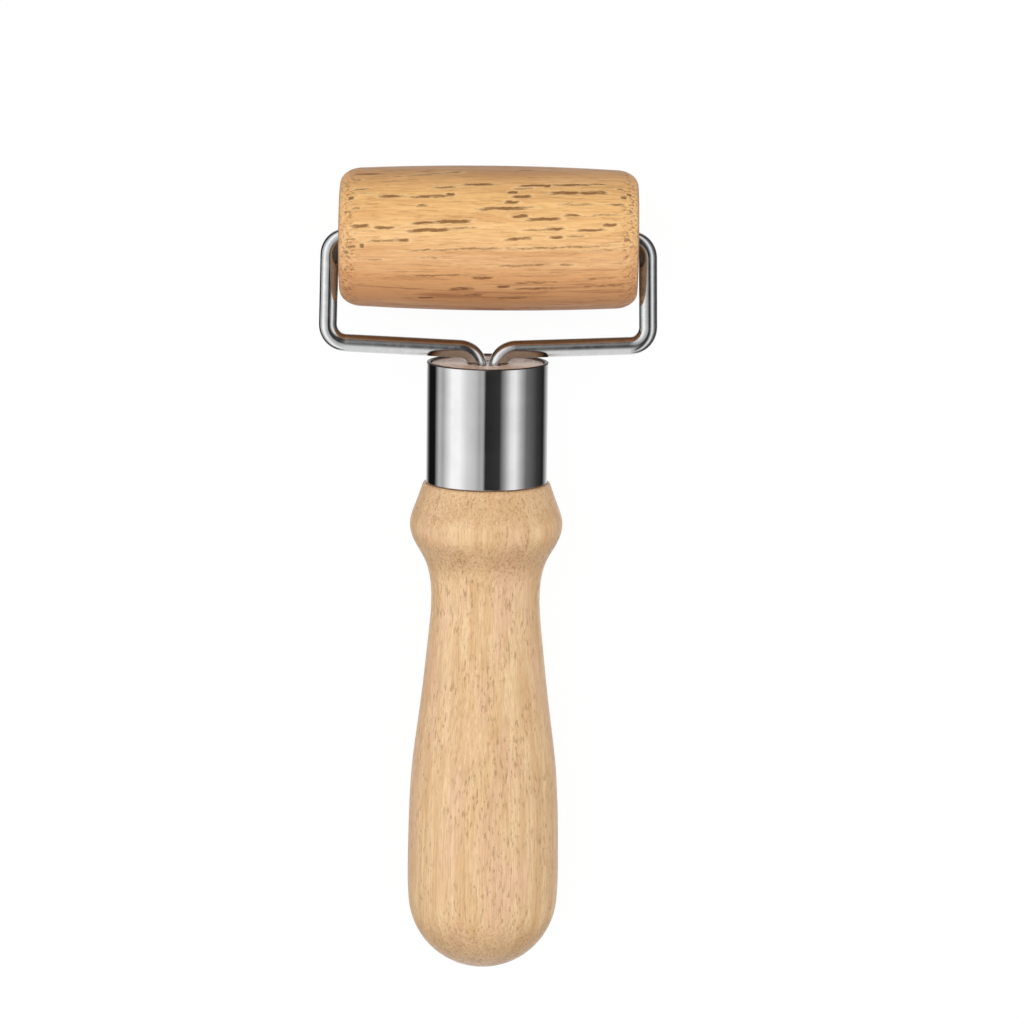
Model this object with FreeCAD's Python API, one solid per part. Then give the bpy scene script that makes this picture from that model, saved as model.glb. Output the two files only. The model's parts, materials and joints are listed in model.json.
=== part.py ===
"""Small hand roller with a wooden drum, a bent wire frame, a steel ferrule and a turned wooden handle.

The tool lies on a table. X runs along the drum's axle, +Y runs along the handle towards the drum and
+Z is up. The origin is at the middle of the tool's length and width, on the table under the handle's
bead. Every length is in millimetres. A "reach" is a distance along the handle's axis from the
ferrule's rim: positive towards the drum, negative towards the handle's tail.
"""
import FreeCAD
import Part

import math
import os

from FreeCAD import Vector

# Overall
TOOL_LENGTH = 170.6           # from the drum's far side to the handle's tail
AXLE_REACH = 25.8             # the drum's axle stands this far beyond the ferrule's rim

# Drum
DRUM_RADIUS = 15.0            # at the middle, where the crown is highest
DRUM_HALF_LENGTH = 30.85
DRUM_SHOULDER_RADIUS = 14.35  # where the crown meets the rounded corner
CORNER_ALONG = 4.7            # the rounded corner is a quarter ellipse: this along the axle
CORNER_ACROSS = 3.3           # and this across it
DRUM_BORE_RADIUS = 4.0
RECESS_RADIUS = 6.0           # counterbore at each end for the bush's flange and the frame's bend
RECESS_DEPTH = 2.8

# Bushes pressed into the drum
BUSH_CLEARANCE = 0.08         # radial running clearance on the wire
FLANGE_THICKNESS = 1.0
BUSH_LENGTH = 12.0            # flange included
BUSH_CHAMFER = 0.4

# Wire frame
WIRE_RADIUS = 1.9
BEND_RADIUS = 3.8             # to the wire's centreline
ARM_X_AT_AXLE = 33.0          # the side arms splay a little towards the handle
ARM_X_AT_BAR = 33.4
BAR_REACH_AT_ARM = 3.8        # the cross bars droop a little towards the middle
BAR_REACH_AT_TAIL = 2.5
TAIL_X = 2.1                  # the two tails stand side by side
TAIL_DEPTH = 38.0             # how far the tails go below the ferrule's rim
TAIL_CHAMFER = 0.6

# Ferrule
FERRULE_RADIUS = 12.7
FERRULE_WALL = 0.8
FERRULE_LENGTH = 25.4
FERRULE_EDGE = 0.25           # rounding of the rims

# Handle
TENON_RECESS = 0.4            # the tenon's face lies this far inside the ferrule
TENON_EDGE = 0.3
SHOULDER_DEPTH = 25.5         # leaves a hairline gap under the ferrule
SHOULDER_RADIUS = 13.35
SHOULDER_ROUNDING = 0.25
BEAD_RADIUS = 16.0            # the thickest place, on which the tool rests
TAIL_BORE_RADIUS = 4.4        # one bore takes both tails, and the adhesive around them
TAIL_BORE_DEPTH = 40.0
DRILL_POINT_ANGLE = 118.0
ADHESIVE_BELOW_FACE = 0.1

# Turned outline of the handle between its shoulder and its domed tail: (depth below the rim, radius)
HANDLE_OUTLINE = [
    (29.6, 14.7),             # flare
    (34.2, BEAD_RADIUS),      # crown of the bead
    (38.3, 14.85),
    (41.7, 12.9),             # cove under the bead
    (45.3, 11.8),
    (49.6, 11.4),             # neck
    (58.6, 12.0),
    (72.0, 13.45),
    (86.0, 15.2),             # the grip swells
    (104.0, 15.95),           # fullest part of the grip
]
DOME_RADIUS = 15.8            # the tail is close to half a ball
DOME_START = 5.0              # degrees past the ball's widest circle where the dome takes over

AXLE_Y = TOOL_LENGTH / 2 - DRUM_RADIUS
RIM_Y = AXLE_Y - AXLE_REACH
TAIL_END_DEPTH = RIM_Y + TOOL_LENGTH / 2
AXIS_Z = BEAD_RADIUS
X_AXIS = Vector(1, 0, 0)
Y_AXIS = Vector(0, 1, 0)
TOUCHING = 1e-3               # places closer than this are the same place


def on_handle_axis(depth, radius):
    """A point of a turned outline, drawn in the XY plane through the handle's axis."""
    return Vector(radius, RIM_Y - depth, AXIS_Z)


def on_drum_axis(along, radius):
    """A point of a turned outline of the drum, drawn in the XY plane through its axle."""
    return Vector(along, AXLE_Y + radius, AXIS_Z)


def polyline(points):
    """Straight edges through the points, in order."""
    return [Part.LineSegment(a, b).toShape() for a, b in zip(points, points[1:])]


def turned(edges, axis):
    """The solid of revolution of a closed outline about the handle's or the drum's axis."""
    where_the_axes_cross = Vector(0, AXLE_Y, AXIS_Z)
    face = Part.Face(Part.Wire(Part.sortEdges(edges)[0]))
    return face.revolve(where_the_axes_cross, axis, 360)


def circles_at(shape, depth, radius):
    """The circular edges of that radius, square to the handle's axis, at that depth below the rim."""
    found = []
    for edge in shape.Edges:
        if not isinstance(edge.Curve, Part.Circle):
            continue
        same_radius = abs(edge.Curve.Radius - radius) < TOUCHING
        if same_radius and abs(RIM_Y - depth - edge.Curve.Center.y) < TOUCHING:
            found.append(edge)
    return found


def fillet_path(corners, radius):
    """A wire of straight runs through the corners, joined by tangent arcs of one radius."""
    edges = []
    start = corners[0]
    for before, corner, after in zip(corners, corners[1:], corners[2:]):
        back = (before - corner).normalize()
        ahead = (after - corner).normalize()
        half_turn = (math.pi - back.getAngle(ahead)) / 2
        tangent = radius * math.tan(half_turn)
        to_centre = (back + ahead).normalize()
        centre = corner + to_centre * (radius / math.cos(half_turn))
        arc_start = corner + back * tangent
        arc_end = corner + ahead * tangent
        edges.append(Part.LineSegment(start, arc_start).toShape())
        edges.append(Part.Arc(arc_start, centre - to_centre * radius, arc_end).toShape())
        start = arc_end
    edges.append(Part.LineSegment(start, corners[-1]).toShape())
    return Part.Wire(edges)


def make_wire_frame():
    """One length of round wire: tail, bar, arm, axle, arm, bar, tail, all in one plane."""
    right_half = [
        (ARM_X_AT_AXLE, AXLE_REACH),
        (ARM_X_AT_BAR, BAR_REACH_AT_ARM),
        (TAIL_X, BAR_REACH_AT_TAIL),
        (TAIL_X, -TAIL_DEPTH),
    ]
    left_half = [(-x, reach) for x, reach in reversed(right_half)]
    corners = [Vector(x, RIM_Y + reach, AXIS_Z) for x, reach in left_half + right_half]
    path = fillet_path(corners, BEND_RADIUS)
    section = Part.Wire(Part.Circle(corners[0], Y_AXIS, WIRE_RADIUS).toShape())
    frame = path.makePipeShell([section], True, False)
    expected = math.pi * WIRE_RADIUS**2 * path.Length
    print(f"wire length {path.Length:.1f}, volume over expected {frame.Volume / expected:.5f}")
    return frame.makeChamfer(TAIL_CHAMFER, circles_at(frame, TAIL_DEPTH, WIRE_RADIUS))


def make_drum():
    """Crowned wooden drum with rounded corners, a through bore and a counterbore at each end."""
    crown_end = DRUM_HALF_LENGTH - CORNER_ALONG
    crown_halfway = DRUM_RADIUS - (DRUM_RADIUS - DRUM_SHOULDER_RADIUS) / 4
    corner_floor = DRUM_SHOULDER_RADIUS - CORNER_ACROSS
    recess_floor = DRUM_HALF_LENGTH - RECESS_DEPTH
    edges = []
    for side in (-1, 1):
        edges.append(
            Part.Arc(
                on_drum_axis(0, DRUM_RADIUS),
                on_drum_axis(side * crown_end / 2, crown_halfway),
                on_drum_axis(side * crown_end, DRUM_SHOULDER_RADIUS),
            ).toShape()
        )
        corner = Part.Ellipse(
            on_drum_axis(side * DRUM_HALF_LENGTH, corner_floor),
            on_drum_axis(side * crown_end, DRUM_SHOULDER_RADIUS),
            on_drum_axis(side * crown_end, corner_floor),
        )
        edges.append(corner.toShape(0, math.pi / 2))
        edges += polyline(
            [
                on_drum_axis(side * DRUM_HALF_LENGTH, corner_floor),
                on_drum_axis(side * DRUM_HALF_LENGTH, RECESS_RADIUS),
                on_drum_axis(side * recess_floor, RECESS_RADIUS),
                on_drum_axis(side * recess_floor, DRUM_BORE_RADIUS),
            ]
        )
    edges += polyline(
        [
            on_drum_axis(-recess_floor, DRUM_BORE_RADIUS),
            on_drum_axis(recess_floor, DRUM_BORE_RADIUS),
        ]
    )
    return turned(edges, X_AXIS)


def make_bush(side):
    """Flanged bush in one end of the drum, with its flange at the bottom of the counterbore."""
    flange_back = DRUM_HALF_LENGTH - RECESS_DEPTH
    flange_face = flange_back + FLANGE_THICKNESS
    inner_end = flange_face - BUSH_LENGTH
    bore = WIRE_RADIUS + BUSH_CLEARANCE
    outline = [
        (inner_end, bore),
        (flange_face, bore),
        (flange_face, RECESS_RADIUS - BUSH_CHAMFER),
        (flange_face - BUSH_CHAMFER, RECESS_RADIUS),
        (flange_back, RECESS_RADIUS),
        (flange_back, DRUM_BORE_RADIUS),
        (inner_end + BUSH_CHAMFER, DRUM_BORE_RADIUS),
        (inner_end, DRUM_BORE_RADIUS - BUSH_CHAMFER),
        (inner_end, bore),
    ]
    return turned(polyline([on_drum_axis(side * x, r) for x, r in outline]), X_AXIS)


def make_ferrule():
    """Plain steel tube around the handle's tenon."""
    inner = FERRULE_RADIUS - FERRULE_WALL
    outline = [
        (0, inner),
        (0, FERRULE_RADIUS),
        (FERRULE_LENGTH, FERRULE_RADIUS),
        (FERRULE_LENGTH, inner),
        (0, inner),
    ]
    tube = turned(polyline([on_handle_axis(d, r) for d, r in outline]), Y_AXIS)
    rounded = circles_at(tube, 0, inner) + circles_at(tube, 0, FERRULE_RADIUS)
    rounded += circles_at(tube, FERRULE_LENGTH, FERRULE_RADIUS)
    return tube.makeFillet(FERRULE_EDGE, rounded)


def tail_bore(top_depth):
    """The drilled hole for the tails, from a depth below the rim down to its conical end."""
    point = TAIL_BORE_RADIUS / math.tan(math.radians(DRILL_POINT_ANGLE / 2))
    outline = [
        (top_depth, 0),
        (top_depth, TAIL_BORE_RADIUS),
        (TAIL_BORE_DEPTH, TAIL_BORE_RADIUS),
        (TAIL_BORE_DEPTH + point, 0),
        (top_depth, 0),
    ]
    return turned(polyline([on_handle_axis(d, r) for d, r in outline]), Y_AXIS)


def on_dome(degrees):
    """A point of the handle's domed tail: 0 is its widest circle and 90 is the tail's tip."""
    angle = math.radians(degrees)
    depth = TAIL_END_DEPTH - DOME_RADIUS + DOME_RADIUS * math.sin(angle)
    return on_handle_axis(depth, DOME_RADIUS * math.cos(angle))


def along_dome(degrees):
    """The direction of the dome's outline at that point, towards the tail's tip."""
    angle = math.radians(degrees)
    return Vector(-math.sin(angle), -math.cos(angle), 0)


def make_handle():
    """Turned handle: tenon, shoulder, flared bead, neck, swelling grip and domed tail."""
    tenon = FERRULE_RADIUS - FERRULE_WALL
    start = on_handle_axis(SHOULDER_DEPTH + SHOULDER_ROUNDING, SHOULDER_RADIUS)
    middle = [on_handle_axis(d, r) for d, r in HANDLE_OUTLINE]
    dome_start = on_dome(DOME_START)
    tail_end = on_dome(90)
    flare = (middle[0] - start).normalize()
    curve = Part.BSplineCurve()
    curve.interpolate(
        Points=[start] + middle + [dome_start],
        InitialTangent=flare,
        FinalTangent=along_dome(DOME_START),
        Scale=False,
    )
    dome = Part.Arc(dome_start, on_dome((DOME_START + 90) / 2), tail_end)
    outline = [
        tail_end,
        on_handle_axis(TENON_RECESS, 0),
        on_handle_axis(TENON_RECESS, tenon - TENON_EDGE),
        on_handle_axis(TENON_RECESS + TENON_EDGE, tenon),
        on_handle_axis(SHOULDER_DEPTH, tenon),
        on_handle_axis(SHOULDER_DEPTH, SHOULDER_RADIUS - SHOULDER_ROUNDING),
        start,
    ]
    blank = turned(polyline(outline) + [curve.toShape(), dome.toShape()], Y_AXIS)
    return blank.cut(tail_bore(0))


def make_tail_adhesive(frame):
    """Cured adhesive that fills the tail bore around the frame's two tails."""
    return tail_bore(TENON_RECESS + ADHESIVE_BELOW_FACE).cut(frame)


def main():
    """Builds every piece and writes one STEP file for each."""
    os.makedirs("parts", exist_ok=True)
    frame = make_wire_frame()
    pieces = {
        "handle": make_handle(),
        "ferrule": make_ferrule(),
        "wire_frame": frame,
        "tail_adhesive": make_tail_adhesive(frame),
        "drum": make_drum(),
        "left_bush": make_bush(-1),
        "right_bush": make_bush(1),
    }
    for name, shape in pieces.items():
        solid = shape.Solids[0]
        print(f"{name}: valid {solid.isValid()}, {solid.Volume / shape.Volume:.3f} of it in one solid")
        solid.exportStep(f"parts/{name}.step")


main()
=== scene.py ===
"""Looks of the small wooden hand roller: its materials, the studio light, the floor and the camera."""
import json
import math

import bpy
from mathutils import Matrix, Vector


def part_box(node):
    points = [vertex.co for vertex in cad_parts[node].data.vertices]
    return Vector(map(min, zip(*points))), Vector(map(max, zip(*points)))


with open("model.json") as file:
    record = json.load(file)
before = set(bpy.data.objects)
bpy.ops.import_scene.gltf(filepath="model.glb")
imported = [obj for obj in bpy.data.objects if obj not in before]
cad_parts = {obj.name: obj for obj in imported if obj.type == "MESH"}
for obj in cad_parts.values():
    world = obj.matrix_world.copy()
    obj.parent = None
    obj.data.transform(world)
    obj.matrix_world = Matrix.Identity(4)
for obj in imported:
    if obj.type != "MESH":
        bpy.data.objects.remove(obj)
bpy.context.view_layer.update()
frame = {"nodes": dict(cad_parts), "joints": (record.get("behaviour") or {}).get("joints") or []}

MM = 0.001
AXLE = Vector(next(joint for joint in frame["joints"] if joint["name"] == "roller_spin")["pos_m"])
RIM_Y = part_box("ferrule")[1].y
DRUM_RADIUS = (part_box("drum")[1].y - AXLE.y) / MM

# Camera: almost straight above the tool, leaning a little from the drum's side
CAMERA_DISTANCE = 0.9
CAMERA_LEAN = math.radians(9.786)
CAMERA_ROLL = math.radians(0.62)
CAMERA_LENS = 150.88                      # millimetres, on the standard 36 mm sensor
CAMERA_AIM = Vector((0.0054, 0.0127, AXLE.z))

# The studio that the polished steel mirrors, as a ring around the handle's axis:
# (degrees from straight up towards +X, brightness)
STUDIO_RING = [
    (-180, 1.30),      # the white table, far below
    (-160, 0.65),
    (-148, 0.14),
    (-140, 0.01),      # the table's dark edge
    (-117, 0.01),
    (-103, 0.70),      # low wall on the left
    (-92, 0.55),
    (-70, 1.40),       # left softbox
    (-54, 1.42),
    (-38, 0.98),
    (-22, 0.76),       # grey wall between the softbox and the camera
    (-14, 0.52),
    (-9, 0.60),
    (-6.6, 0.48),
    (-3, 0.03),        # the dark side of the camera
    (24, 0.05),
    (34.5, 0.48),
    (46, 1.12),        # right softbox
    (55, 1.24),
    (66, 0.70),
    (80, 0.22),        # dark side of the room
    (110, 0.06),
    (133, 0.02),
    (143, 0.35),
    (158, 0.80),
    (180, 1.30),
]
RING_TOP = 2.0                            # the ring's levels are stored as shares of this
RING_SKEW = math.radians(8)               # the ring turns this far for each unit of Y of a direction,
RING_SQUARE_AT = -0.17                    # counted from this Y
MIRRORED_DRUM_SIDE = 0.10                 # what the steel mirrors straight towards +Y
MIRRORED_HANDLE_SIDE = 1.02               # and straight towards -Y
DRUM_SIDE_FADES = (0.35, 0.85)            # |Y| of a direction where the ring fades into that side
HANDLE_SIDE_FADES = (0.20, 0.72)
STRAIGHT_AHEAD = (0.06, 0.24)             # and |X| where it comes back on both sides of it
# The soft light on the wood: even light and a share of the ring, leaning from straight up to +Y
SOFT_EVEN = 0.65
SOFT_RING = 0.28
SOFT_RISES = (-0.80, 0.20, 0.30, 1.45)    # from this Y to this Y, its brightness rises from, to
SOFT_FALLS = (0.15, 0.85, 1.00, 0.10)     # and on towards +Y it falls again, as a share
SOFT_BELOW = (-0.85, -0.05, 0.12, 1.00)   # the tool's own shadow on the table, by Z
SOFT_SIDES = (0.30, 0.90, 1.00, 1.70)     # and more light from both sides, by |X|
PANEL_LEAN = math.radians(22)             # the light panel's own lean towards +Y
PANEL_DISTANCE = 1.2
PANEL_SIZE = (2.4, 0.5)
PANEL_POWER = 5.6
BACKDROP = 1.0
FLOOR_HALF_WIDTH = 12.0

# The largest open pores on the drum's upper side, in millimetres: (middle along the axle, height
# up the drum as seen from the camera, length, width, faintness from 0 to 1)
DRUM_PORES = [
    (-11.0, 12.8, 9.0, 0.8, 0.60),
    (-7.0, 13.1, 3.0, 0.8, 0.35),
    (-19.0, 12.2, 2.6, 0.5, 0.55),
    (-27.0, 11.6, 2.2, 0.6, 0.40),
    (-2.0, 10.3, 6.8, 0.7, 0.15),
    (-9.2, 9.6, 4.8, 0.6, 0.40),
    (-26.2, 9.4, 3.2, 0.5, 0.45),
    (-25.0, 8.5, 4.2, 0.5, 0.65),
    (-28.2, 7.5, 1.2, 0.9, 0.20),
    (-20.0, 7.8, 4.8, 0.8, 0.25),
    (-11.8, 7.7, 8.8, 0.7, 0.25),
    (-7.8, 8.1, 2.0, 0.9, 0.00),
    (-13.6, 5.7, 2.8, 0.6, 0.40),
    (-27.0, 5.2, 1.8, 0.5, 0.50),
    (-29.4, 4.6, 1.0, 0.9, 0.30),
    (-13.0, 2.1, 6.0, 0.6, 0.25),
    (-7.2, 2.4, 7.2, 0.8, 0.00),
    (-11.8, 0.5, 9.6, 0.8, 0.00),
    (-4.6, 1.1, 6.0, 0.5, 0.50),
    (-26.2, 1.3, 3.8, 0.7, 0.15),
    (-21.2, 1.0, 4.0, 0.7, 0.20),
    (-20.6, -1.7, 8.4, 0.5, 0.40),
    (-17.4, -1.6, 2.2, 0.7, 0.15),
    (-28.0, -3.1, 2.2, 0.6, 0.35),
    (-25.7, -2.8, 1.1, 0.9, 0.20),
    (-29.2, -4.3, 1.5, 0.8, 0.25),
    (-28.4, -1.6, 2.6, 0.4, 0.50),
    (-24.0, -5.7, 6.0, 0.5, 0.70),
    (-12.0, -5.1, 4.0, 0.6, 0.65),
    (-6.0, -3.3, 23.0, 0.5, 0.50),
    (15.0, -2.7, 25.0, 0.5, 0.50),
    (-11.0, -8.6, 18.0, 0.5, 0.50),
    (-1.2, -9.0, 4.4, 0.7, 0.35),
    (-5.5, -11.2, 5.4, 1.0, 0.35),
    (-3.0, -12.3, 4.0, 0.8, 0.35),
    (-12.8, -13.0, 3.6, 0.7, 0.20),
    (9.5, 10.3, 6.4, 0.7, 0.10),
    (11.9, 10.2, 1.4, 0.9, 0.00),
    (6.8, 9.6, 3.8, 0.7, 0.50),
    (17.0, 10.6, 8.8, 0.7, 0.25),
    (22.4, 11.0, 3.4, 0.5, 0.30),
    (4.9, 8.7, 2.2, 0.8, 0.15),
    (6.7, 7.8, 4.0, 0.7, 0.10),
    (15.6, 8.8, 6.4, 1.0, 0.10),
    (21.2, 9.0, 5.8, 1.1, 0.20),
    (4.8, 6.5, 3.0, 0.7, 0.10),
    (3.4, 5.2, 10.8, 0.8, 0.10),
    (18.0, 6.4, 8.0, 0.5, 0.55),
    (26.0, 6.6, 4.0, 0.6, 0.45),
    (6.2, 3.6, 3.8, 0.7, 0.15),
    (11.2, 3.1, 6.8, 0.7, 0.05),
    (17.0, 4.0, 3.4, 0.6, 0.20),
    (23.4, 4.1, 8.0, 0.4, 0.60),
    (24.8, 2.2, 2.8, 0.7, 0.20),
    (13.6, 1.1, 3.8, 0.7, 0.20),
    (9.4, 0.8, 5.6, 0.4, 0.50),
    (21.0, 0.9, 7.0, 0.6, 0.30),
    (14.0, -0.7, 3.2, 0.6, 0.15),
    (6.2, -1.1, 5.6, 0.6, 0.30),
    (17.6, -0.5, 4.2, 0.4, 0.50),
    (23.4, -3.2, 8.0, 0.5, 0.60),
    (7.6, -6.4, 12.0, 0.6, 0.50),
    (16.0, -6.3, 3.6, 0.6, 0.40),
    (10.0, -9.8, 9.0, 0.6, 0.50),
    (23.0, -9.1, 8.0, 0.7, 0.60),
    (3.2, -10.7, 2.6, 0.7, 0.10),
    (10.0, -11.0, 10.0, 0.8, 0.50),
    (24.0, -10.6, 9.0, 0.8, 0.55),
    (5.0, -12.8, 7.0, 0.8, 0.40),
    (26.9, 10.1, 1.6, 0.6, 0.30),
    (27.6, 8.4, 1.5, 0.7, 0.25),
    (28.7, 9.2, 1.2, 0.7, 0.20),
    (29.1, 5.4, 1.0, 0.9, 0.30),
    (28.2, -0.9, 1.2, 0.8, 0.30),
]
PORE_LIFT = 0.045                         # how much the pores climb along the axle
PORE_FADE = 1.5                           # what a faintness of 1 adds to the nearness below
PORES_SEEN = 58.0                         # the turn, in degrees from up, that the list covers
PORE_RAGGEDNESS = 1.9                     # how far smooth noise moves a pore's edge
# Millimetres from the ferrule's rim, along the handle, and from the handle's axis
PAINTED_RIM_SPAN = (-0.30, -0.12)                  # where the ferrule's dull cut rim, painted dark brown as a painted reflection, starts
TENON_FACE = (-0.9, -0.6)                 # where the tenon's end face starts
TENON_EDGE_SHADE = (9.9, 11.4)                 # where the painted shade at the tenon's edge, in the corner against the ferrule's wall, starts and is full


class Nodes:
    """Short names for building a node tree. An input may be a number, a colour or another output."""

    def __init__(self, tree):
        self.tree = tree
        tree.nodes.clear()

    def add(self, kind, inputs, **settings):
        """Adds a shader node, sets it up and fills or links its inputs."""
        node = self.tree.nodes.new("ShaderNode" + kind)
        for name, value in settings.items():
            setattr(node, name, value)
        for name, value in inputs.items():
            if isinstance(value, bpy.types.NodeSocket):
                self.tree.links.new(value, node.inputs[name])
            else:
                node.inputs[name].default_value = value
        return node

    def math(self, operation, a, b=0.0, c=0.0):
        """One arithmetic step on numbers."""
        return self.add("Math", {0: a, 1: b, 2: c}, operation=operation).outputs[0]

    def vector(self, operation, a, b=(0.0, 0.0, 0.0), c=(0.0, 0.0, 0.0)):
        """One arithmetic step on vectors."""
        node = self.add("VectorMath", {0: a, 1: b, 2: c}, operation=operation)
        return node.outputs["Value" if operation == "LENGTH" else "Vector"]

    def parts(self, vector):
        """The three numbers of a vector."""
        return list(self.add("SeparateXYZ", {0: vector}).outputs)

    def joined(self, x, y, z):
        """A vector from three numbers."""
        return self.add("CombineXYZ", {0: x, 1: y, 2: z}).outputs[0]

    def rise(self, value, low, high, start=0.0, end=1.0):
        """A smooth step from start, at low, to end, at high."""
        inputs = {"Value": value, 1: low, 2: high, 3: start, 4: end}
        return self.add("MapRange", inputs, interpolation_type="SMOOTHSTEP").outputs[0]

    def ramp(self, value, stops):
        """A colour for each value from 0 to 1."""
        node = self.add("ValToRGB", {0: value})
        elements = node.color_ramp.elements
        while len(elements) < len(stops):
            elements.new(0.5)
        for element, (position, colour) in zip(elements, stops):
            element.position = position
            element.color = colour
        return node.outputs[0]

    def mix(self, share, a, b):
        """Mixes a share of colour b into colour a."""
        return self.add("Mix", {0: share, 6: a, 7: b}, data_type="RGBA").outputs[2]

    def place(self, centre):
        """Where a point of the piece is, in millimetres from a centre."""
        point = self.add("TexCoord", {}).outputs["Object"]
        from_centre = self.vector("SUBTRACT", point, tuple(centre))
        return self.vector("MULTIPLY", from_centre, (1 / MM,) * 3)

    def facing(self, axis):
        """How squarely the surface faces along an axis, either way: from 0 to 1."""
        normal = self.add("TexCoord", {}).outputs["Normal"]
        return self.math("ABSOLUTE", self.parts(normal)["XYZ".index(axis)])

    def cells(self, place, cell, seed):
        """The place in cells of that size in millimetres each way, shifted by the seed."""
        scale = tuple(1 / size for size in cell)
        return self.vector("MULTIPLY_ADD", place, scale, (seed, -seed, 2 * seed))

    def noise(self, place, cell, seed, detail=2.0, roughness=0.5):
        """Smooth noise from 0 to 1."""
        where = self.cells(place, cell, seed)
        inputs = {"Vector": where, "Scale": 1.0, "Detail": detail, "Roughness": roughness}
        return self.add("TexNoise", inputs).outputs["Fac"]

    def streaks(self, place, cell, seed, largest):
        """Separate long spots, one at most in each cell: how deep inside one, from 0 to 1."""
        where = self.cells(place, cell, seed)
        spots = self.add("TexVoronoi", {"Vector": where, "Scale": 1.0}).outputs
        reach = self.math("MULTIPLY", self.parts(spots["Color"])[0], largest)
        depth = self.math("SUBTRACT", reach, spots["Distance"])
        return self.rise(depth, 0.0, 0.5 * largest)

    def wander(self, place, cell, reach, seed):
        """The place, moved a little each way by smooth noise."""
        where = self.cells(place, cell, seed)
        inputs = {"Vector": where, "Scale": 1.0, "Detail": 2.0}
        shift = self.add("TexNoise", inputs).outputs["Color"]
        shift = self.vector("SUBTRACT", shift, (0.5, 0.5, 0.5))
        return self.vector("MULTIPLY_ADD", shift, reach, place)

    def bump(self, height, depth):
        """A bumped normal. The height runs from 0 to 1 and the depth is in millimetres."""
        inputs = {"Height": height, "Distance": depth * MM, "Strength": 1.0}
        return self.add("Bump", inputs).outputs[0]

    def wood_bump(self, pores, fibre, depth):
        """A bumped normal for wood: its pores sink in and its fibres stand out a little."""
        ridges = self.math("MULTIPLY_ADD", fibre, 0.2, 0.8)
        return self.bump(self.math("MULTIPLY_ADD", pores, -0.8, ridges), depth)

    def surface(self, **inputs):
        """The material's Principled surface. An underscore stands for a space in an input's name."""
        named = {name.replace("_", " "): value for name, value in inputs.items()}
        shader = self.add("BsdfPrincipled", named)
        self.add("OutputMaterial", {"Surface": shader.outputs[0]})


def colour(red, green, blue):
    """A colour from its levels on screen, 0 to 255."""
    def linear(level):
        share = level / 255
        return share / 12.92 if share <= 0.04045 else ((share + 0.055) / 1.055) ** 2.4
    return (linear(red), linear(green), linear(blue), 1.0)


def grey(level):
    """A neutral colour of that brightness."""
    return (level, level, level, 1.0)


# The drum's colours across it, from the handle's side (0) to the far side (1): the wood's own tone,
# with painted shade that makes it darker and redder towards the handle's side and darker at the far
# edge
DRUM_TONE_AND_PAINTED_SHADE = [
    (0.00, colour(196, 132, 84)),
    (0.12, colour(212, 150, 99)),
    (0.28, colour(232, 173, 117)),
    (0.42, colour(242, 190, 134)),
    (0.58, colour(248, 200, 136)),
    (0.82, colour(250, 200, 132)),
    (0.93, colour(242, 188, 124)),
    (1.00, colour(192, 142, 96)),
]


def new_material(name):
    """An empty material and its node builder."""
    material = bpy.data.materials.new(name)
    material.use_nodes = True
    return material, Nodes(material.node_tree)


def placed_pores(nodes, place):
    """How near a point is to one of the drum's largest pores: 0 in its middle, 1 at its edge."""
    x, y, z = nodes.parts(place)
    around = nodes.math("MULTIPLY", nodes.math("ARCTAN2", y, z), DRUM_RADIUS)
    level = nodes.math("MULTIPLY_ADD", x, -PORE_LIFT, around)
    unrolled = nodes.wander(nodes.joined(x, level, 0.0), (2.2, 2.2, 1.0), (1.0, 0.75, 0.0), seed=4.0)
    nearest = 9.0
    for middle, height, length, width, faintness in DRUM_PORES:
        turn = DRUM_RADIUS * (math.asin(height / DRUM_RADIUS) + CAMERA_LEAN)
        scale = (2 / length, 2 / width, 0.0)
        fade = math.sqrt(PORE_FADE * faintness)
        back = (-middle * scale[0], (PORE_LIFT * middle - turn) * scale[1], fade)
        offset = nodes.vector("MULTIPLY_ADD", unrolled, scale, back)
        squares = nodes.vector("MULTIPLY", offset, offset)
        nearest = nodes.math("MINIMUM", nearest, nodes.vector("LENGTH", squares))
    ragged = nodes.noise(place, (1.5, 0.45, 0.45), seed=7.0, detail=3.0, roughness=0.6)
    return nodes.math("MULTIPLY_ADD", nodes.math("SUBTRACT", ragged, 0.5), PORE_RAGGEDNESS, nearest)


def drum_pores(nodes, place, near, across_grain):
    """How deep a point is in an open pore of the drum, from 0 to 1."""
    placed = nodes.rise(near, 0.20, 1.45, 1.0, 0.0)
    torn = nodes.wander(place, (2.6, 1.2, 1.2), (1.4, 0.5, 0.5), seed=6.0)
    wild = nodes.streaks(torn, (12, 1.3, 1.3), 5.0, 0.42)
    _, y, z = nodes.parts(place)
    turn = nodes.math("DEGREES", nodes.math("ABSOLUTE", nodes.math("ARCTAN2", y, z)))
    unlisted = nodes.rise(turn, PORES_SEEN, PORES_SEEN + 14)
    pores = nodes.math("MAXIMUM", nodes.math("MULTIPLY", wild, unlisted), placed)
    fine = nodes.noise(torn, (5, 0.42, 0.42), seed=10.0, detail=2.0, roughness=0.6)
    pores = nodes.math("MAXIMUM", pores, nodes.rise(fine, 0.54, 0.70, 0.0, 0.30))
    pores = nodes.math("MULTIPLY", pores, nodes.rise(across_grain, 0.45, 0.85, 1.0, 0.0))
    dots = nodes.noise(place, (1.3, 0.5, 0.5), seed=8.0, detail=2.0)
    dots = nodes.math("MULTIPLY", nodes.rise(dots, 0.52, 0.68), nodes.rise(across_grain, 0.02, 0.30))
    return nodes.math("MAXIMUM", pores, nodes.math("MULTIPLY", dots, 0.60))


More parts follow.
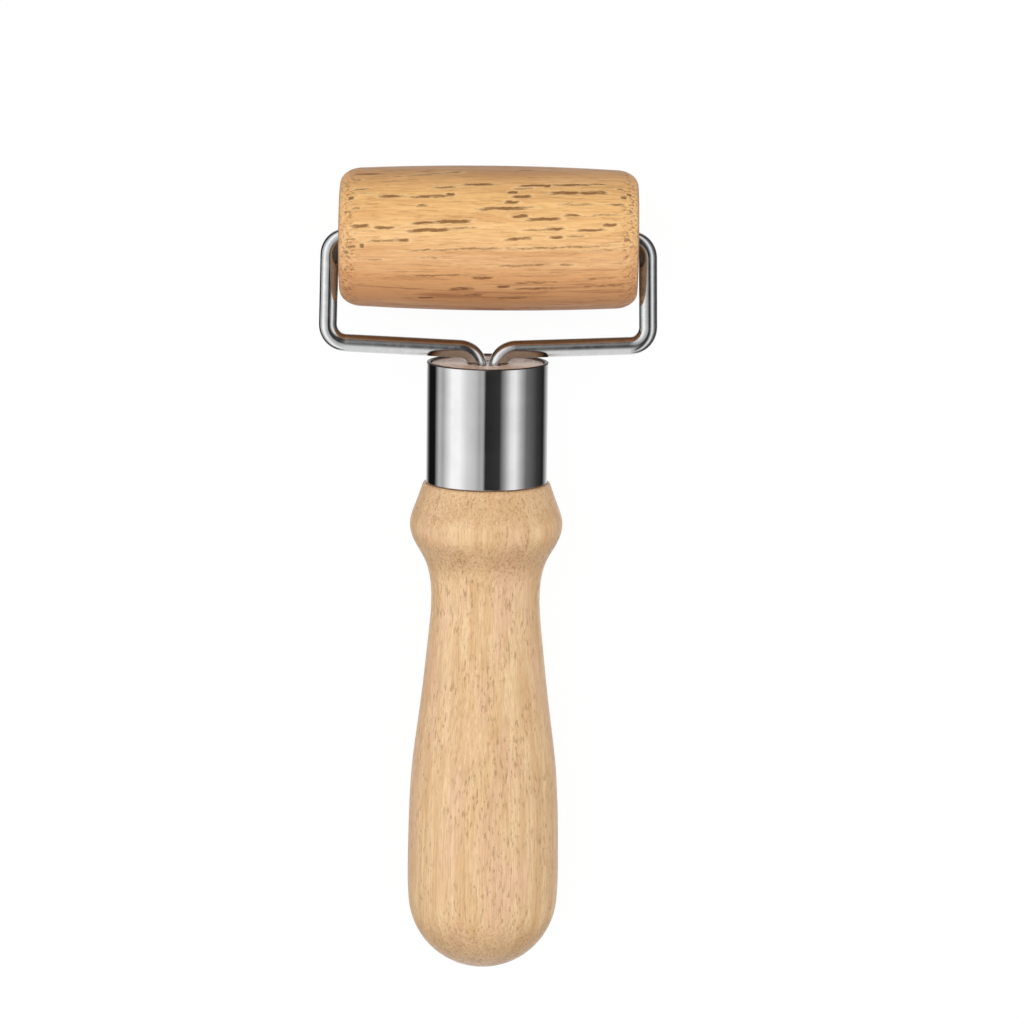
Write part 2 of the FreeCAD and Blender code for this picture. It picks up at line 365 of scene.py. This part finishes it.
def drum_skin(nodes, wavy, across, fibre):
    """The colour of the drum's wood between its pores: its tone across it, with painted shade towards
    the handle's side and the far edge, bands, fibres, and lines on the lower side.
    """
    # the tone across the drum, with painted shade: darker and redder towards the handle's side, darker
    # at the far edge
    skin = nodes.ramp(across, DRUM_TONE_AND_PAINTED_SHADE)
    bands = nodes.noise(wavy, (50, 2.4, 2.4), seed=2.0, detail=3.0)
    skin = nodes.mix(nodes.rise(bands, 0.50, 0.30, 0.0, 0.35), skin, colour(212, 148, 92))
    skin = nodes.mix(nodes.rise(bands, 0.50, 0.72, 0.0, 0.40), skin, colour(252, 206, 152))
    lines = nodes.noise(wavy, (24, 0.80, 0.80), seed=9.0, detail=3.0, roughness=0.6)
    low_side = nodes.rise(across, 0.50, 0.05, 0.15, 0.75)
    lines = nodes.math("MULTIPLY", nodes.rise(lines, 0.50, 0.68), low_side)
    skin = nodes.mix(lines, skin, colour(150, 90, 56))
    return nodes.mix(nodes.rise(fibre, 0.32, 0.66, 0.36, 0.0), skin, colour(196, 134, 80))


def make_drum_wood():
    """Golden hardwood, its grain along the axle, with long open pores. Its lower side is redder and
    darker, partly the wood's own tone and partly painted shade, and its far edge has painted shade
    too.
    """
    material, nodes = new_material("drum_wood")
    straight = nodes.place(AXLE)
    wavy = nodes.wander(straight, (26, 9, 9), (0.0, 2.2, 2.2), seed=1.0)
    across = nodes.math("MULTIPLY_ADD", nodes.parts(wavy)[1], 0.5 / DRUM_RADIUS, 0.5)
    across_grain = nodes.facing("X")
    fibre = nodes.noise(wavy, (5.0, 0.34, 0.34), seed=3.0, detail=4.0, roughness=0.65)
    near = placed_pores(nodes, straight)
    pores = drum_pores(nodes, straight, near, across_grain)

    skin = drum_skin(nodes, wavy, across, fibre)
    # painted highlight: a lighter rim around the largest pores on the drum's upper side, where the
    # light catches their lips
    painted_lip_highlight = nodes.math("MULTIPLY", nodes.rise(near, 1.2, 2.6, 0.35, 0.0), nodes.rise(across, 0.2, 0.5))
    skin = nodes.mix(painted_lip_highlight, skin, colour(255, 218, 160))
    # the end faces darker and greyer: partly the wood's darker end grain, partly painted shade on ends
    # that the light reaches little
    skin = nodes.mix(nodes.rise(across_grain, 0.80, 0.99, 0.0, 0.75), skin, colour(156, 126, 98))
    skin = nodes.mix(nodes.math("MULTIPLY", pores, 0.86), skin, colour(126, 76, 26))
    nodes.surface(
        Base_Color=skin,
        Roughness=nodes.math("MULTIPLY_ADD", pores, 0.2, 0.52),
        Specular_IOR_Level=0.35,
        Sheen_Weight=0.15,
        Sheen_Roughness=0.5,
        Sheen_Tint=colour(255, 236, 220),
        Normal=nodes.wood_bump(pores, fibre, 0.16),
    )
    return material


def handle_flecks(nodes, straight, place, cut):
    """How deep a point is in one of the handle's flecks, from 0 to 1: dashes along the grain and
    dots where the surface cuts across it."""
    crowd = nodes.noise(straight, (6, 12, 6), seed=16.0, detail=1.0)
    dashes = nodes.noise(place, (0.46, 2.2, 0.46), seed=15.0, detail=3.0, roughness=0.6)
    crowded = nodes.rise(crowd, 0.34, 0.60, 0.25, 1.0)
    dashes = nodes.math("MULTIPLY", nodes.rise(dashes, 0.55, 0.68), crowded)
    dots = nodes.noise(straight, (0.55, 0.55, 0.55), seed=18.0, detail=3.0, roughness=0.6)
    dots = nodes.math("MULTIPLY", nodes.rise(dots, 0.52, 0.68), cut)
    return nodes.math("MAXIMUM", dashes, dots)


def handle_skin(nodes, place, cut, fibre):
    """The colour of the handle's wood between its flecks."""
    bands = nodes.noise(place, (2.2, 80, 2.2), seed=12.0, detail=3.0)
    skin = nodes.mix(nodes.rise(bands, 0.35, 0.65), colour(228, 186, 136), colour(244, 208, 160))
    blush = nodes.noise(place, (6, 26, 6), seed=13.0, detail=1.0)
    skin = nodes.mix(nodes.rise(blush, 0.48, 0.66, 0.0, 0.55), skin, colour(238, 194, 160))
    lines = nodes.noise(place, (0.5, 34, 0.5), seed=17.0, detail=2.0)
    skin = nodes.mix(nodes.rise(lines, 0.50, 0.34, 0.0, 0.30), skin, colour(204, 158, 106))
    skin = nodes.mix(nodes.rise(lines, 0.52, 0.68, 0.0, 0.28), skin, colour(250, 220, 178))
    skin = nodes.mix(nodes.rise(fibre, 0.3, 0.65, 0.45, 0.0), skin, colour(188, 142, 92))
    return nodes.mix(nodes.math("MULTIPLY", cut, 0.35), skin, colour(206, 160, 112))


def tenon_face(nodes, straight, flecks):
    """The colour of the tenon's end inside the ferrule, with painted shade towards its edge, in the
    corner against the ferrule's wall.
    """
    x, _, z = nodes.parts(straight)
    from_axis = nodes.vector("LENGTH", nodes.joined(x, 0.0, z))
    # painted shade: the face turns orange-brown towards its edge, where it meets the ferrule's wall
    edge = nodes.rise(from_axis, *TENON_EDGE_SHADE)
    face = nodes.mix(edge, colour(222, 192, 164), colour(172, 118, 76))
    return nodes.mix(nodes.math("MULTIPLY", flecks, 0.3), face, colour(120, 84, 58))


def make_handle_wood():
    """Paler, closer-grained hardwood along the handle, with short dark flecks and fine streaks."""
    material, nodes = new_material("handle_wood")
    straight = nodes.place((0.0, RIM_Y, AXLE.z))
    place = nodes.wander(straight, (7, 34, 7), (1.6, 0.0, 1.6), seed=11.0)
    cut = nodes.rise(nodes.facing("Y"), 0.10, 0.50)
    fibre = nodes.noise(place, (0.22, 4.5, 0.22), seed=14.0, detail=4.0, roughness=0.7)
    flecks = handle_flecks(nodes, straight, place, cut)

    skin = handle_skin(nodes, place, cut, fibre)
    skin = nodes.mix(nodes.math("MULTIPLY", flecks, 0.52), skin, colour(150, 106, 58))
    on_tenon = nodes.rise(nodes.parts(straight)[1], *TENON_FACE)
    skin = nodes.mix(on_tenon, skin, tenon_face(nodes, straight, flecks))
    nodes.surface(
        Base_Color=skin,
        Roughness=nodes.math("MULTIPLY_ADD", flecks, 0.2, 0.34),
        Specular_IOR_Level=0.5,
        Sheen_Weight=0.25,
        Sheen_Roughness=0.5,
        Sheen_Tint=colour(255, 232, 220),
        Normal=nodes.wood_bump(flecks, fibre, 0.08),
    )
    return material


def make_ferrule_steel():
    """Mirror-polished steel with faint smudges and polishing lines. Its cut rim is dull, and painted
    dark brown: a painted reflection of the dark room and the wood around it.
    """
    material, nodes = new_material("ferrule_steel")
    place = nodes.place((0.0, RIM_Y, AXLE.z))
    smudges = nodes.noise(place, (5, 5, 5), seed=21.0, detail=3.0)
    lines = nodes.noise(place, (9, 0.12, 9), seed=22.0, detail=3.0)
    tint = nodes.mix(nodes.rise(smudges, 0.35, 0.7), (0.62, 0.62, 0.625, 1.0), (0.66, 0.66, 0.66, 1.0))
    # painted reflection: the rim's colour is dark brown, standing in for the dark room and the wood
    # that the bare steel mirrors there; its greater roughness is a real dull edge
    painted_rim = nodes.rise(nodes.parts(place)[1], *PAINTED_RIM_SPAN)
    polish = nodes.rise(smudges, 0.35, 0.75, 0.035, 0.09)
    nodes.surface(
        Base_Color=nodes.mix(painted_rim, tint, (0.08, 0.055, 0.04, 1.0)),
        Metallic=1.0,
        Roughness=nodes.math("MULTIPLY_ADD", painted_rim, 0.35, polish),
        Normal=nodes.bump(lines, 0.0004),
    )
    return material


def make_wire_steel():
    """Bright drawn wire, a little less even than the ferrule."""
    material, nodes = new_material("wire_steel")
    place = nodes.place(AXLE)
    marks = nodes.noise(place, (1.6, 1.6, 1.6), seed=31.0, detail=4.0, roughness=0.6)
    tint = nodes.mix(nodes.rise(marks, 0.35, 0.7), (0.60, 0.605, 0.61, 1.0), (0.68, 0.68, 0.68, 1.0))
    nodes.surface(
        Base_Color=tint,
        Metallic=1.0,
        Roughness=nodes.rise(marks, 0.35, 0.75, 0.14, 0.22),
        Normal=nodes.bump(marks, 0.004),
    )
    return material


def make_adhesive():
    """Cured amber resin."""
    material, nodes = new_material("adhesive")
    place = nodes.place((0.0, RIM_Y, AXLE.z))
    clouds = nodes.noise(place, (1.5, 1.5, 1.5), seed=41.0, detail=3.0)
    tint = nodes.mix(clouds, colour(96, 66, 40), colour(150, 112, 76))
    nodes.surface(
        Base_Color=tint,
        Roughness=nodes.rise(clouds, 0.3, 0.7, 0.18, 0.35),
        Normal=nodes.bump(clouds, 0.1),
    )
    return material


def make_bush_nylon():
    """Dark grey nylon with a fine moulded grain."""
    material, nodes = new_material("bush_nylon")
    place = nodes.place(AXLE)
    clouds = nodes.noise(place, (3, 3, 3), seed=51.0, detail=3.0)
    grain = nodes.noise(place, (0.25, 0.25, 0.25), seed=52.0, detail=2.0)
    tint = nodes.mix(clouds, colour(92, 84, 76), colour(110, 101, 92))
    nodes.surface(
        Base_Color=tint,
        Roughness=nodes.rise(grain, 0.3, 0.7, 0.42, 0.55),
        Normal=nodes.bump(grain, 0.01),
    )
    return material


def make_studio():
    """The studio around the tool, as a brightness for each direction.

    The steel mirrors a ring of softboxes and dark gaps, and a plain level straight ahead of and
    behind it. The wood gets the soft light that a room full of such boxes gives. The camera sees a
    plain backdrop.
    """
    world = bpy.data.worlds.new("studio")
    bpy.context.scene.world = world
    world.use_nodes = True
    nodes = Nodes(world.node_tree)
    x, y, z = nodes.parts(nodes.add("TexCoord", {}).outputs["Generated"])
    skew = nodes.math("ABSOLUTE", nodes.math("SUBTRACT", y, RING_SQUARE_AT))
    turn = nodes.math("MULTIPLY_ADD", skew, -RING_SKEW, nodes.math("ARCTAN2", x, z))
    turn = nodes.math("MULTIPLY_ADD", turn, 1 / math.tau, 0.5)
    stops = [((degrees + 180) / 360, grey(level / RING_TOP)) for degrees, level in STUDIO_RING]
    ring = nodes.vector("MULTIPLY", nodes.ramp(turn, stops), (RING_TOP,) * 3)
    beside = nodes.math("ABSOLUTE", x)
    ahead = nodes.rise(beside, *STRAIGHT_AHEAD, 1.0, 0.0)
    drum_side = nodes.math("MULTIPLY", nodes.rise(y, *DRUM_SIDE_FADES), ahead)
    handle_side = nodes.rise(nodes.math("MULTIPLY", y, -1.0), *HANDLE_SIDE_FADES)
    handle_side = nodes.math("MULTIPLY", handle_side, ahead)
    mirrored = nodes.mix(drum_side, ring, grey(MIRRORED_DRUM_SIDE))
    mirrored = nodes.mix(handle_side, mirrored, grey(MIRRORED_HANDLE_SIDE))
    even = nodes.math("MULTIPLY", nodes.rise(z, *SOFT_BELOW), SOFT_EVEN)
    even = nodes.math("MULTIPLY", nodes.rise(beside, *SOFT_SIDES), even)
    soft = nodes.math("MULTIPLY_ADD", ring, SOFT_RING, even)
    lean = nodes.math("MULTIPLY", nodes.rise(y, *SOFT_RISES), nodes.rise(y, *SOFT_FALLS))
    soft = nodes.math("MULTIPLY", soft, lean)
    ray = nodes.add("LightPath", {}).outputs
    light = nodes.mix(ray["Is Glossy Ray"], soft, mirrored)
    light = nodes.mix(ray["Is Camera Ray"], light, grey(BACKDROP))
    background = nodes.add("Background", {"Color": light, "Strength": 1.0})
    nodes.add("OutputWorld", {"Surface": background.outputs[0]})


def make_panel():
    """A wide soft light panel above the drum. The polished steel doesn't mirror it."""
    light = bpy.data.lights.new("panel", "AREA")
    light.shape = "RECTANGLE"
    light.size, light.size_y = PANEL_SIZE
    light.energy = PANEL_POWER
    panel = bpy.data.objects.new("panel", light)
    bpy.context.scene.collection.objects.link(panel)
    way = Vector((0, math.sin(PANEL_LEAN), math.cos(PANEL_LEAN)))
    panel.location = way * PANEL_DISTANCE
    panel.rotation_euler = way.to_track_quat("Z", "Y").to_euler()
    panel.visible_glossy = False


def make_floor():
    """A large pale glowing table. The studio already holds its light on the tool from below."""
    half = FLOOR_HALF_WIDTH
    corners = [(-half, -half, 0), (half, -half, 0), (half, half, 0), (-half, half, 0)]
    mesh = bpy.data.meshes.new("floor")
    mesh.from_pydata(corners, [], [(0, 1, 2, 3)])
    floor = bpy.data.objects.new("floor", mesh)
    bpy.context.scene.collection.objects.link(floor)
    material, nodes = new_material("floor")
    nodes.surface(
        Base_Color=grey(0.08),
        Roughness=1.0,
        Specular_IOR_Level=0.0,
        Emission_Color=grey(1.0),
        Emission_Strength=0.94,
    )
    mesh.materials.append(material)
    floor.visible_glossy = False
    floor.visible_diffuse = False


def make_camera():
    """The camera, with the lean and the lens that the reference view has."""
    data = bpy.data.cameras.new("camera")
    data.lens = CAMERA_LENS
    camera = bpy.data.objects.new("camera", data)
    bpy.context.scene.collection.objects.link(camera)
    back = Vector((0, math.sin(CAMERA_LEAN), math.cos(CAMERA_LEAN)))
    turn = Matrix.Rotation(-CAMERA_LEAN, 4, "X") @ Matrix.Rotation(CAMERA_ROLL, 4, "Z")
    camera.matrix_world = Matrix.Translation(CAMERA_AIM + back * CAMERA_DISTANCE) @ turn
    bpy.context.scene.camera = camera


def dress():
    """Gives every CAD node its material."""
    nylon = make_bush_nylon()
    materials = {
        "handle": make_handle_wood(),
        "ferrule": make_ferrule_steel(),
        "wire_frame": make_wire_steel(),
        "tail_adhesive": make_adhesive(),
        "drum": make_drum_wood(),
        "left_bush": nylon,
        "right_bush": nylon,
    }
    for name, material in materials.items():
        frame["nodes"][name].material_slots[0].material = material


bpy.context.scene.view_settings.view_transform = "Standard"
make_studio()
make_panel()
make_floor()
make_camera()
dress()
